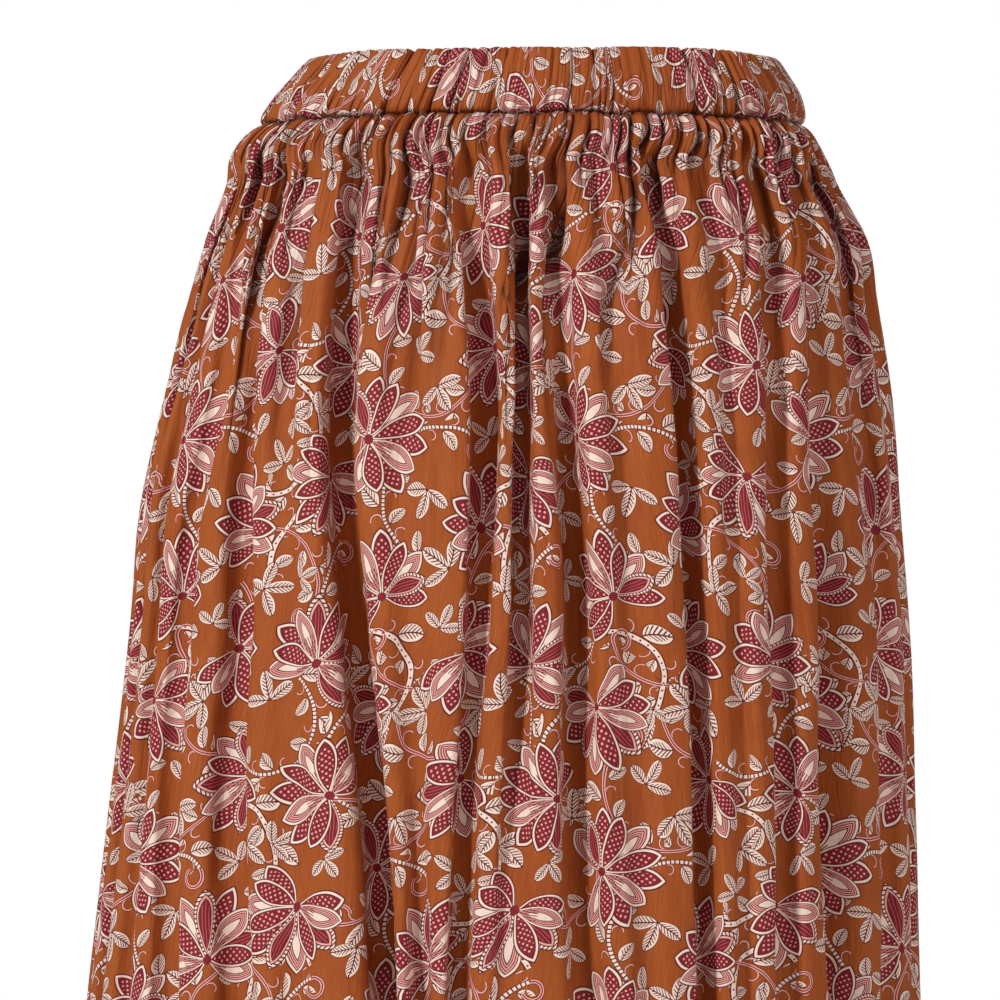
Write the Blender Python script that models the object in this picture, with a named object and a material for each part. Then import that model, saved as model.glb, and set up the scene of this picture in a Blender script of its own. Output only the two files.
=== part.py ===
"""A gathered midi skirt with an elastic waistband casing, worn and hollow.

Metres, +Z up, with the skirt's front towards -Y, so that -X is its left side
seen from the front. The origin is at the middle of the waistband's height, on
the line down the middle of the waist.

Each piece is a wall of cloth through level rows of points. A row starts on
the skirt's smooth outer outline and goes in from it at the folds, at the
gathers below the waist seam and at the ribs of the drawn-up waistband.
"""

import math
from typing import NamedTuple

import bmesh
import bpy
import numpy as np

# Driving dimensions
MM = 0.001
BAND_HALF_HEIGHT = 18 * MM
HEM_DOWN = 800 * MM
SEAM_GAP = 0.3 * MM
PANEL_WALL = 1.4 * MM
BAND_WALL = 2.8 * MM
BAND_RIB_DEPTH = 2.2 * MM

# The gathers, which the waist seam draws up and the cloth lets out below it
GATHERS_PER_PANEL = 48
COLUMNS_PER_GATHER = 3
GATHER_DEPTH_AT_SEAM = 2.4 * MM
GATHER_DEPTH_BELOW_SEAM = 4.6 * MM
GATHER_DEEPEST_DOWN = 34 * MM
GATHERS_END_DOWN = 120 * MM
GATHER_STEEPEST = 1.0
GATHER_UNEVENNESS = 0.3
GATHER_UNEVEN_WAVES = (2.3, 0.9)
GATHER_DRIFT = 0.0035
GATHER_DRIFT_WAVES = (5, 13)

# The levels of the rows, as depths below the origin
BAND_LEVELS = (-BAND_HALF_HEIGHT, 0.0, BAND_HALF_HEIGHT)
GATHERED_LEVELS = (BAND_HALF_HEIGHT + SEAM_GAP, 32 * MM, 55 * MM, 85 * MM)
FOLDED_LEVELS = (120 * MM, 185 * MM, 260 * MM, 340 * MM, 425 * MM, 520 * MM, 655 * MM, HEM_DOWN)
CELLS_PER_HALF_FOLD = 2
SHARPEST_TURN = 0.55
OUTLINE_SAMPLES = 721


class Section(NamedTuple):
    """The outer outline at one level, in millimetres: its depth below the origin and its four half widths."""

    down: float
    left: float
    right: float
    front: float
    back: float


SECTIONS = (
    Section(down=-18, left=135, right=135, front=97, back=93),
    Section(down=0, left=151, right=146, front=104, back=104),
    Section(down=18, left=165, right=152, front=111, back=114),
    Section(down=34, left=177, right=159, front=120, back=126),
    Section(down=52, left=182, right=169, front=127, back=137),
    Section(down=90, left=196, right=188, front=140, back=154),
    Section(down=118, left=204, right=192, front=145, back=162),
    Section(down=176, left=218, right=201, front=155, back=177),
    Section(down=234, left=231, right=205, front=161, back=184),
    Section(down=300, left=237, right=210, front=166, back=190),
    Section(down=406, left=249, right=214, front=174, back=198),
    Section(down=520, left=262, right=217, front=182, back=206),
    Section(down=800, left=288, right=227, front=200, back=224),
)

# The depths below the origin, in millimetres, at which the fold tables give each fold
FOLD_STATIONS = (60, 175, 290, 400, 510)


class Fold(NamedTuple):
    """The line of one valley between two ridges, in millimetres at each station.

    at is how far the valley lies to the right of the middle, seen from the
    front, deep is how far it goes in, and sharp is 1 for a round valley and
    more for a narrow one.
    """

    at: tuple
    deep: tuple
    sharp: float


FRONT_FOLDS = {
    "left seam": Fold(at=(-180, -214.5, -234, -246, -259.5), deep=(3, 5, 7, 8, 8), sharp=1.6),
    "left side": Fold(at=(-177.5, -211, -229, -240, -253), deep=(4, 6, 6, 7, 8), sharp=1.6),
    "left edge": Fold(at=(-173.5, -205, -221, -228, -238), deep=(6, 7, 8, 8, 9), sharp=1.8),
    "left tuck": Fold(at=(-166, -183, -204, -213, -214), deep=(6, 7, 8, 10, 12), sharp=1.6),
    "left valley": Fold(at=(-152, -168, -172, -179, -172), deep=(6, 13, 17, 16, 16), sharp=1.1),
    "left crease": Fold(at=(-136, -144, -142, -139, -139), deep=(6, 5, 4, 4, 5), sharp=2.0),
    "big left": Fold(at=(-108, -120, -112, -96, -87), deep=(12, 26, 28, 30, 30), sharp=1.0),
    "inner left": Fold(at=(-77, -78, -74, -71, -70), deep=(7, 6, 5, 7, 11), sharp=1.8),
    "middle left": Fold(at=(-40, -30, -34, -44, -50), deep=(12, 20, 14, 13, 16), sharp=1.5),
    "middle": Fold(at=(-13, -13, -15, -18, -21), deep=(12, 18, 15, 7, 4), sharp=2.2),
    "middle right": Fold(at=(4, 10, 18, 18, 26), deep=(8, 16, 20, 18, 15), sharp=1.2),
    "inner right": Fold(at=(31, 41, 47, 53, 56), deep=(6, 6, 5, 5, 5), sharp=1.8),
    "big right": Fold(at=(62, 79, 85, 88, 92), deep=(12, 22, 20, 18, 16), sharp=1.8),
    "right crease": Fold(at=(89, 104, 105, 110, 110), deep=(8, 6, 4, 4, 5), sharp=1.8),
    "right tuck": Fold(at=(124, 130, 131, 133, 133), deep=(9, 10, 12, 10, 9), sharp=1.4),
    "right valley": Fold(at=(144, 153, 160, 160, 167), deep=(8, 7, 20, 23, 22), sharp=1.1),
    "right edge": Fold(at=(160, 179, 194, 197, 196), deep=(6, 6, 7, 8, 9), sharp=1.8),
    "right seam": Fold(at=(167, 196, 206, 210, 212), deep=(4, 6, 8, 8, 9), sharp=1.6),
}

BACK_FOLDS = {
    "left seam": Fold(at=(-180, -213.5, -233, -245, -259), deep=(3, 5, 6, 7, 8), sharp=1.6),
    "left side": Fold(at=(-177.5, -209, -227.5, -238, -251), deep=(4, 7, 9, 9, 9), sharp=1.6),
    "left edge": Fold(at=(-172, -201, -218, -226, -236), deep=(5, 8, 9, 10, 10), sharp=1.6),
    "left tuck": Fold(at=(-158, -183, -198, -207, -214), deep=(8, 12, 12, 12, 12), sharp=1.6),
    "left valley": Fold(at=(-137, -160, -176, -184, -191), deep=(10, 18, 22, 22, 20), sharp=1.0),
    "left crease": Fold(at=(-112, -134, -150, -160, -166), deep=(6, 6, 6, 8, 8), sharp=2.0),
    "big left": Fold(at=(-88, -106, -118, -124, -130), deep=(12, 24, 28, 28, 28), sharp=1.1),
    "inner left": Fold(at=(-63, -76, -84, -88, -92), deep=(8, 8, 8, 10, 12), sharp=1.8),
    "middle left": Fold(at=(-36, -46, -50, -54, -56), deep=(10, 20, 22, 20, 18), sharp=1.4),
    "middle": Fold(at=(-11, -14, -16, -16, -14), deep=(8, 10, 8, 6, 6), sharp=2.0),
    "middle right": Fold(at=(14, 18, 22, 26, 30), deep=(12, 22, 26, 26, 24), sharp=1.1),
    "inner right": Fold(at=(38, 48, 56, 60, 64), deep=(8, 8, 10, 10, 10), sharp=1.8),
    "big right": Fold(at=(62, 78, 86, 92, 96), deep=(12, 24, 26, 26, 26), sharp=1.2),
    "right crease": Fold(at=(88, 104, 112, 116, 120), deep=(6, 8, 8, 8, 8), sharp=2.0),
    "right tuck": Fold(at=(112, 130, 139, 143, 146), deep=(10, 16, 18, 18, 18), sharp=1.4),
    "right valley": Fold(at=(134, 156, 166, 170, 173), deep=(8, 12, 14, 14, 14), sharp=1.4),
    "right edge": Fold(at=(152, 178, 189, 194, 197), deep=(5, 7, 8, 8, 8), sharp=1.6),
    "right seam": Fold(at=(164.5, 195, 204.5, 208, 211), deep=(4, 7, 9, 10, 10), sharp=1.6),
}


class Side(NamedTuple):
    """Which half of the skirt a piece belongs to, and the folds of its panel."""

    name: str
    sign: float
    section_column: str
    folds: dict


FRONT = Side(name="front", sign=-1.0, section_column="front", folds=FRONT_FOLDS)
BACK = Side(name="back", sign=1.0, section_column="back", folds=BACK_FOLDS)

CLOTH_COLOUR = (0.46, 0.11, 0.012, 1.0)
BAND_COLOUR = (0.42, 0.10, 0.014, 1.0)
CLOTH_ROUGHNESS = 0.8


def smooth(at, knots, values):
    """Reads a table at one place, on a smooth curve through its rows, and holds its ends."""
    knots = np.asarray(knots, float)
    values = np.asarray(values, float)
    slopes = np.gradient(values, knots, axis=0)
    at = min(max(at, knots[0]), knots[-1])
    row = min(int(np.searchsorted(knots, at, "right")) - 1, len(knots) - 2)
    span = knots[row + 1] - knots[row]
    s = (at - knots[row]) / span
    start = (1 + 2 * s) * (1 - s) ** 2 * values[row] + s * (1 - s) ** 2 * span * slopes[row]
    end = s * s * (3 - 2 * s) * values[row + 1] - s * s * (1 - s) * span * slopes[row + 1]
    return start + end


def ease(value):
    """Goes from 0 to 1 with no corner as value does, and stays there outside."""
    value = min(max(value, 0.0), 1.0)
    return value * value * (3 - 2 * value)


def half_widths(down, side):
    """The outline's left and right half widths and its depth on one side, at a level."""
    knots = [section.down * MM for section in SECTIONS]
    columns = ("left", "right", side.section_column)
    table = [[getattr(section, column) * MM for column in columns] for section in SECTIONS]
    return smooth(down, knots, table)


def outline(down, angles, side):
    """Points of the smooth outer outline at a level, and the directions that go in from them.

    An angle of 0 is the left side seam, and one of pi is the right side seam.
    """
    left, right, depth = half_widths(down, side)
    widths = np.where(np.cos(angles) > 0, left, right)
    points = np.stack([-widths * np.cos(angles), side.sign * depth * np.sin(angles)], axis=1)
    inward = -points / np.stack([widths**2, np.full_like(widths, depth**2)], axis=1)
    return points, inward / np.linalg.norm(inward, axis=1, keepdims=True)


def gather_fractions():
    """How far across its panel each gathered column lies, from 0 to 1, a little unevenly."""
    fractions = np.linspace(0, 1, GATHERS_PER_PANEL * COLUMNS_PER_GATHER + 1)
    drift = sum(np.sin(2 * math.pi * waves * fractions) for waves in GATHER_DRIFT_WAVES)
    return fractions + GATHER_DRIFT * drift


def even_angles(down, side):
    """The angles of the gathered columns where the waist seam spaces them along the outline."""
    angles = np.linspace(0, math.pi, OUTLINE_SAMPLES)
    points, _ = outline(down, angles, side)
    steps = np.linalg.norm(np.diff(points, axis=0), axis=1)
    lengths = np.concatenate([[0.0], np.cumsum(steps)])
    return np.interp(gather_fractions() * lengths[-1], lengths, angles)


def fold_angles(fold, side):
    """The angle of one fold's valley at each station."""
    angles = []
    for station, at in zip(FOLD_STATIONS, fold.at):
        left, right, _ = half_widths(station * MM, side)
        width = left if at < 0 else right
        angles.append(math.acos(-at * MM / width))
    return angles


def folded_columns(down, side, cells):
    """The angles and depths of a panel's columns where its folds place them.

    Each valley has cells columns to the ridge on either side of it. The
    ridges lie half way between the valleys, and the side seams are ridges.
    """
    folds = list(side.folds.values())
    stations = [station * MM for station in FOLD_STATIONS]
    valleys = [smooth(down, stations, fold_angles(fold, side)) for fold in folds]
    ridges = [0.0] + [(a + b) / 2 for a, b in zip(valleys, valleys[1:])] + [math.pi]
    opened = ease((down - BAND_HALF_HEIGHT) / (stations[0] - BAND_HALF_HEIGHT))
    angles, depths = [], []
    for number, fold in enumerate(folds):
        deep = smooth(down, stations, fold.deep) * MM * opened
        for step in range(-cells, cells):
            edge = ridges[number] if step < 0 else ridges[number + 1]
            away = abs(step) / cells
            angles.append(valleys[number] + (edge - valleys[number]) * away)
            depths.append(deep * (0.5 + 0.5 * math.cos(math.pi * away)) ** fold.sharp)
    return np.array(angles + [math.pi]), np.array(depths + [0.0])


def gather_pattern():
    """How far in each gathered column lies, from 0 to 1: broad round tops with a narrow valley between them."""
    columns = np.arange(GATHERS_PER_PANEL * COLUMNS_PER_GATHER + 1)
    numbers = columns // COLUMNS_PER_GATHER
    first, second = GATHER_UNEVEN_WAVES
    uneven = 1 - GATHER_UNEVENNESS * (0.5 + 0.5 * np.sin(first * numbers) * np.cos(second * numbers))
    return np.where(columns % COLUMNS_PER_GATHER == 0, uneven, 0.0)


def gather_depth(down):
    """The depth of the gathers at a level below the waist seam."""
    if down < GATHER_DEEPEST_DOWN:
        rise = ease((down - BAND_HALF_HEIGHT) / (GATHER_DEEPEST_DOWN - BAND_HALF_HEIGHT))
        return GATHER_DEPTH_AT_SEAM + (GATHER_DEPTH_BELOW_SEAM - GATHER_DEPTH_AT_SEAM) * rise
    fall = ease((down - GATHER_DEEPEST_DOWN) / (GATHERS_END_DOWN - GATHER_DEEPEST_DOWN))
    return GATHER_DEPTH_BELOW_SEAM * (1 - fall)


def steepest_depths(down, angles, side):
    """How deep a gather may be at each column, so that close ones stay shallow and their walls apart."""
    points, _ = outline(down, angles, side)
    steps = np.linalg.norm(np.diff(points, axis=0), axis=1)
    narrower = np.minimum(np.append(steps, steps[-1]), np.insert(steps, 0, steps[0]))
    return GATHER_STEEPEST * narrower


def at_level(points, down, side):
    """Puts a row of plan points at its level, with half the side seam's gap left free."""
    rows = np.column_stack([points, np.full(len(points), -down)])
    rows[:, 1] += side.sign * SEAM_GAP / 2
    return rows


def moved_in(points, wall, side):
    """The inner points of a wall: the outer ones moved in by its thickness, square to the cloth."""
    along = np.diff(points, axis=0)
    along /= np.linalg.norm(along, axis=1, keepdims=True)
    square = side.sign * np.stack([along[:, 1], -along[:, 0]], axis=1)
    across = square[:-1] + square[1:]
    across /= np.linalg.norm(across, axis=1, keepdims=True)
    reach = wall / np.maximum((across * square[1:]).sum(axis=1), SHARPEST_TURN)
    seam = np.array([[wall, 0.0]])
    moves = np.concatenate([seam, across * reach[:, None], -seam])
    return points + moves


def panel_row(down, side):
    """The outer and inner points of one level of a panel."""
    cells = CELLS_PER_HALF_FOLD
    if down < GATHERS_END_DOWN:
        cells *= 2
    angles, depths = folded_columns(down, side, cells)
    if down < GATHERS_END_DOWN:
        spread = ease((down - BAND_HALF_HEIGHT) / (GATHERS_END_DOWN - BAND_HALF_HEIGHT))
        angles = spread * angles + (1 - spread) * even_angles(down, side)
        depths = depths + np.minimum(gather_depth(down), steepest_depths(down, angles, side)) * gather_pattern()
    points, inward = outline(down, angles, side)
    outer = points + inward * depths[:, None]
    inner = moved_in(outer, PANEL_WALL, side)
    return at_level(outer, down, side), at_level(inner, down, side)


def band_row(down, side):
    """The outer and inner points of one level of the waistband, ribbed outside and plain inside."""
    points, inward = outline(down, even_angles(down, side), side)
    outer = points + inward * (BAND_RIB_DEPTH * gather_pattern())[:, None]
    inner = moved_in(points, BAND_RIB_DEPTH + BAND_WALL, side)
    return at_level(outer, down, side), at_level(inner, down, side)


def cells_between(upper, lower):
    """The faces between two rows of point numbers, where the lower row may have half as many columns."""
    if len(upper) == len(lower):
        return [(upper[i], lower[i], lower[i + 1], upper[i + 1]) for i in range(len(upper) - 1)]
    faces = []
    for i in range(len(lower) - 1):
        first, middle, last = upper[2 * i], upper[2 * i + 1], upper[2 * i + 2]
        faces.append((first, lower[i], middle))
        faces.append((middle, lower[i], lower[i + 1]))
        faces.append((middle, lower[i + 1], last))
    return faces


def wall_of_cloth(name, rows, material, collection):
    """Makes one closed wall of cloth through its rows, each an outer and an inner line of points."""
    mesh = bmesh.new()
    outer, inner, cells = [], [], []
    above = None
    for outer_line, inner_line in rows:
        numbers = range(len(outer), len(outer) + len(outer_line))
        outer.extend(mesh.verts.new(point) for point in outer_line)
        inner.extend(mesh.verts.new(point) for point in inner_line)
        if above is not None:
            cells.extend(cells_between(above, numbers))
        above = numbers
    for cell in cells:
        mesh.faces.new([outer[i] for i in cell])
    mesh.verts.index_update()
    number_of = {vertex: number for number, vertex in enumerate(outer)}
    rim = [[number_of[vertex] for vertex in edge.verts] for edge in mesh.edges if edge.is_boundary]
    for cell in cells:
        mesh.faces.new([inner[i] for i in reversed(cell)])
    for a, b in rim:
        mesh.faces.new((outer[a], outer[b], inner[b], inner[a]))
    bmesh.ops.recalc_face_normals(mesh, faces=mesh.faces)
    data = bpy.data.meshes.new(name)
    mesh.to_mesh(data)
    mesh.free()
    data.shade_smooth()
    data.materials.append(material)
    collection.objects.link(bpy.data.objects.new(name, data))


def cloth_material(name, colour):
    """A plain matte cloth in one colour."""
    material = bpy.data.materials.new(name)
    material.use_nodes = True
    shader = material.node_tree.nodes["Principled BSDF"]
    shader.inputs["Base Color"].default_value = colour
    shader.inputs["Roughness"].default_value = CLOTH_ROUGHNESS
    shader.inputs["Metallic"].default_value = 0.0
    return material


def build():
    """Makes the skirt's four pieces: a waistband half and a panel, in front and behind."""
    for item in list(bpy.data.objects):
        bpy.data.objects.remove(item)
    collection = bpy.data.collections.new("gathered_midi_skirt")
    bpy.context.scene.collection.children.link(collection)
    for side in (FRONT, BACK):
        band = [band_row(down, side) for down in BAND_LEVELS]
        colour = cloth_material(f"waistband_{side.name}_cloth", BAND_COLOUR)
        wall_of_cloth(f"waistband_{side.name}", band, colour, collection)
        panel = [panel_row(down, side) for down in GATHERED_LEVELS + FOLDED_LEVELS]
        colour = cloth_material(f"panel_{side.name}_cloth", CLOTH_COLOUR)
        wall_of_cloth(f"panel_{side.name}", panel, colour, collection)


build()
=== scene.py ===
"""A gathered midi skirt in printed cotton, worn and empty inside, with an elastic waistband casing.

Metres, +Z up, the skirt's front towards -Y. Each piece of cloth is a grid of
threads: its columns run down the cloth and its rows run round the skirt. A row
is first laid along the main folds, then drawn in at the gathers, and the
print is read from the cloth's own flat sizes, so it bends with the folds.
"""

from __future__ import annotations

import logging
import math
from dataclasses import dataclass, field
from enum import Enum

import bmesh
import bpy
import numpy as np
from mathutils import Matrix, Vector

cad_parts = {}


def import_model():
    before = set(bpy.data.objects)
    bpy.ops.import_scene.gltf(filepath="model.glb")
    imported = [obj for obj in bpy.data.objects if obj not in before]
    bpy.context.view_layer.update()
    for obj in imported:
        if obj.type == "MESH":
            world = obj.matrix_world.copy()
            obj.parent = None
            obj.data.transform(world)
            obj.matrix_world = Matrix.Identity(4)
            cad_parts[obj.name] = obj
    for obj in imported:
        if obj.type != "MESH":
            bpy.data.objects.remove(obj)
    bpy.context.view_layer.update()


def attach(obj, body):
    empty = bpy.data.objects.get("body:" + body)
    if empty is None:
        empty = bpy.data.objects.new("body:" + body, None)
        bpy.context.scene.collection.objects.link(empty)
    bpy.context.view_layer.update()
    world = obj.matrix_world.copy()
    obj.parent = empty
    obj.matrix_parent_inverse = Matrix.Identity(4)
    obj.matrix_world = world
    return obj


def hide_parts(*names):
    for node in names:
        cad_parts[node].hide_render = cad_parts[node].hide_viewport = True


MM = 0.001
BODY = "root"
CLOTH_MAP = "OFBake"
# The mesh attribute that holds the painted shade: how far the print's colour is darkened in the gathers, the ribs and
# along the waist seam, from 0 to 1
PAINTED_SHADE = "painted_shade"
# The most that a motif's three facts can be: its turn in radians or its radius, its kind, and one over its size
FACTS_REACH = (64.0, 4.0, 2.0)
# How steeply the distance from a vine grows inside its gap, and a distance at which nothing is drawn
GAP_EDGE = 1000.0
FAR_AWAY = 100.0

logging.basicConfig(level=logging.INFO, format="%(message)s")
log = logging.getLogger("midi_skirt")


def ease(value: np.ndarray | float) -> np.ndarray | float:
    """Goes from 0 to 1 with no corner as value does, and stays there outside."""
    value = np.clip(value, 0.0, 1.0)
    return value * value * (3 - 2 * value)


def smooth(at: float, knots: tuple, values: tuple | list) -> np.ndarray:
    """Reads a table at one place, on a smooth curve through its rows.

    Args:
        at: the place to read.
        knots: the rows' own places, rising.
        values: a number, or a line of numbers, for each row.

    Returns:
        The values there. The first and last rows hold outside the table.
    """
    places = np.asarray(knots, float)
    table = np.asarray(values, float)
    slopes = np.gradient(table, places, axis=0)
    at = min(max(at, places[0]), places[-1])
    row = min(int(np.searchsorted(places, at, "right")) - 1, len(places) - 2)
    span = places[row + 1] - places[row]
    s = (at - places[row]) / span
    start = (1 + 2 * s) * (1 - s) ** 2 * table[row] + s * (1 - s) ** 2 * span * slopes[row]
    end = s * s * (3 - 2 * s) * table[row + 1] - s * s * (1 - s) * span * slopes[row + 1]
    return start + end


def soft_noise(across: np.ndarray, down: float, cells: tuple[int, int], seed: int) -> np.ndarray:
    """Gentle unevenness over a piece of cloth.

    Args:
        across: how far across the cloth each thread lies, from 0 to 1.
        down: how far down the cloth the row lies, from 0 to 1.
        cells: the number of bumps across and down.
        seed: the number that fixes the bumps.

    Returns:
        A height for each thread, mostly from -1 to 1.
    """
    columns, rows = cells
    heights = np.random.default_rng(seed).uniform(-1, 1, (rows + 2, columns + 2))
    row = min(max(down, 0.0), 1.0) * rows
    upper = int(row)
    line = heights[upper] + (heights[upper + 1] - heights[upper]) * ease(row - upper)
    place = np.clip(across, 0.0, 1.0) * columns
    left = place.astype(int)
    return line[left] + (line[left + 1] - line[left]) * ease(place - left)


class Half(Enum):
    """Which half of the skirt a piece belongs to, and which way its outside faces along Y."""

    FRONT = -1
    BACK = 1


@dataclass(frozen=True)
class Section:
    """The outer outline at one level, in millimetres: its depth below the origin and its four half widths."""

    down: float
    left: float
    right: float
    front: float
    back: float


@dataclass(frozen=True)
class Outline:
    """The smooth form that the tops of the skirt's folds touch, from the band's top to the hem."""

    sections: tuple[Section, ...] = (
        # down, left, right, front, back
        Section(-18, 135, 135, 97, 93),
        Section(0, 151, 146, 104, 104),
        Section(18, 165, 152, 111, 114),
        Section(34, 177, 159, 120, 126),
        Section(52, 182, 169, 127, 137),
        Section(90, 196, 188, 140, 154),
        Section(118, 204, 192, 145, 162),
        Section(176, 218, 201, 155, 177),
        Section(234, 231, 205, 161, 184),
        Section(300, 237, 210, 166, 190),
        Section(406, 249, 214, 174, 198),
        Section(520, 262, 217, 182, 206),
        Section(800, 288, 227, 200, 224),
    )

    def half_widths(self, down: float, half: Half) -> np.ndarray:
        """The left and right half widths and the depth at a level, in millimetres."""
        knots = tuple(section.down for section in self.sections)
        table = [(s.left, s.right, s.front if half is Half.FRONT else s.back) for s in self.sections]
        return smooth(down, knots, table)

    def place(self, down: float, angles: np.ndarray, half: Half) -> tuple[np.ndarray, np.ndarray]:
        """Finds points on the outline at a level.

        Args:
            down: the level, in millimetres below the origin.
            angles: 0 at the left side seam and pi at the right one.
            half: the front or the back.

        Returns:
            The plan points, in millimetres, and the directions that go in from them.
        """
        left, right, depth = self.half_widths(down, half)
        widths = np.where(np.cos(angles) > 0, left, right)
        points = np.stack([-widths * np.cos(angles), half.value * depth * np.sin(angles)], axis=1)
        inward = -points / np.stack([widths**2, np.full_like(widths, depth**2)], axis=1)
        return points, inward / np.linalg.norm(inward, axis=1, keepdims=True)

    def even_angles(self, down: float, half: Half, fractions: np.ndarray) -> np.ndarray:
        """The angles that lie at these fractions of the way along one half of the outline."""
        angles = np.linspace(0, math.pi, 721)
        points, _ = self.place(down, angles, half)
        lengths = np.insert(np.cumsum(np.linalg.norm(np.diff(points, axis=0), axis=1)), 0, 0.0)
        return np.interp(fractions * lengths[-1], lengths, angles)


@dataclass(frozen=True)
class Fold:
    """The line of one valley between two ridges, in millimetres at each station.

    at is how far the valley lies to the right of the middle, seen from the
    front, and deep is how far it goes in. sharp is 1 for a round valley and
    more for a narrow one. lean says how steep its left and right flanks are:
    above 0.16 the ridge hangs over the valley.
    """

    at: tuple[float, ...]
    deep: tuple[float, ...]
    sharp: float
    lean: tuple[float, float] = (0.1, 0.1)


FOLD_STATIONS = (60, 175, 290, 400, 510)

FRONT_FOLDS = (
    # at each station, deep at each station, sharp, lean
    Fold((-180, -214.5, -234, -246, -259.5), (3, 5, 7, 8, 8), 1.6),
    Fold((-177.5, -211, -229, -240, -253), (4, 6, 6, 7, 8), 1.6),
    Fold((-173.5, -205, -221, -228, -238), (6, 7, 8, 8, 9), 1.8),
    Fold((-166, -183, -204, -213, -214), (6, 7, 8, 10, 12), 1.6, (0.16, 0.05)),
    Fold((-152, -168, -172, -179, -172), (6, 13, 17, 16, 16), 1.1, (0.15, 0.05)),
    Fold((-136, -144, -142, -139, -139), (6, 5, 4, 4, 5), 2.0),
    Fold((-108, -120, -112, -96, -87), (12, 26, 28, 30, 30), 1.0, (0.25, 0.04)),
    Fold((-77, -78, -74, -71, -70), (7, 6, 5, 7, 11), 1.8),
    Fold((-40, -30, -34, -44, -50), (12, 20, 14, 13, 16), 1.5, (0.21, 0.06)),
    Fold((-13, -13, -15, -18, -21), (12, 18, 15, 7, 4), 2.2, (0.24, 0.1)),
    Fold((4, 10, 18, 18, 26), (8, 16, 20, 18, 15), 1.2, (0.1, 0.05)),
    Fold((31, 41, 47, 53, 56), (6, 6, 5, 5, 5), 1.8),
    Fold((62, 79, 85, 88, 92), (12, 22, 20, 18, 16), 1.8, (0.25, 0.05)),
    Fold((89, 104, 105, 110, 110), (8, 6, 4, 4, 5), 1.8),
    Fold((124, 130, 131, 133, 133), (9, 10, 12, 10, 9), 1.4),
    Fold((144, 153, 160, 160, 167), (8, 7, 20, 23, 22), 1.1, (0.24, 0.05)),
    Fold((160, 179, 194, 197, 196), (6, 6, 7, 8, 9), 1.8),
    Fold((167, 196, 206, 210, 212), (4, 6, 8, 8, 9), 1.6),
)

BACK_FOLDS = (
    # at each station, deep at each station, sharp, lean
    Fold((-180, -213.5, -233, -245, -259), (3, 5, 6, 7, 8), 1.6),
    Fold((-177.5, -209, -227.5, -238, -251), (4, 7, 9, 9, 9), 1.6),
    Fold((-172, -201, -218, -226, -236), (5, 8, 9, 10, 10), 1.6),
    Fold((-158, -183, -198, -207, -214), (8, 12, 12, 12, 12), 1.6, (0.05, 0.15)),
    Fold((-137, -160, -176, -184, -191), (10, 18, 22, 22, 20), 1.0, (0.04, 0.18)),
    Fold((-112, -134, -150, -160, -166), (6, 6, 6, 8, 8), 2.0),
    Fold((-88, -106, -118, -124, -130), (12, 24, 28, 28, 28), 1.1, (0.05, 0.18)),
    Fold((-63, -76, -84, -88, -92), (8, 8, 8, 10, 12), 1.8),
    Fold((-36, -46, -50, -54, -56), (10, 20, 22, 20, 18), 1.4, (0.16, 0.06)),
    Fold((-11, -14, -16, -16, -14), (8, 10, 8, 6, 6), 2.0),
    Fold((14, 18, 22, 26, 30), (12, 22, 26, 26, 24), 1.1, (0.17, 0.05)),
    Fold((38, 48, 56, 60, 64), (8, 8, 10, 10, 10), 1.8),
    Fold((62, 78, 86, 92, 96), (12, 24, 26, 26, 26), 1.2, (0.06, 0.17)),
    Fold((88, 104, 112, 116, 120), (6, 8, 8, 8, 8), 2.0),
    Fold((112, 130, 139, 143, 146), (10, 16, 18, 18, 18), 1.4, (0.15, 0.05)),
    Fold((134, 156, 166, 170, 173), (8, 12, 14, 14, 14), 1.4),
    Fold((152, 178, 189, 194, 197), (5, 7, 8, 8, 8), 1.6),
    Fold((164.5, 195, 204.5, 208, 211), (4, 7, 9, 10, 10), 1.6),
)


@dataclass(frozen=True)
class Crease:
    """One soft trough, or a ridge where deep is less than 0, in millimetres.

    start and end are how far it lies to the right of the middle and below the
    origin at its two ends.
    """

    start: tuple[float, float]
    end: tuple[float, float]
    deep: float
    wide: float

    def depth(self, across: np.ndarray, down: float) -> np.ndarray:
        """How far in it moves the cloth at a level."""
        part = (down - self.start[1]) / (self.end[1] - self.start[1])
        middle = self.start[0] + (self.end[0] - self.start[0]) * part
        strength = math.sin(math.pi * min(max(part, 0.0), 1.0)) ** 0.7
        return self.deep * strength * np.exp(-(((across - middle) / self.wide) ** 2))


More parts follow.
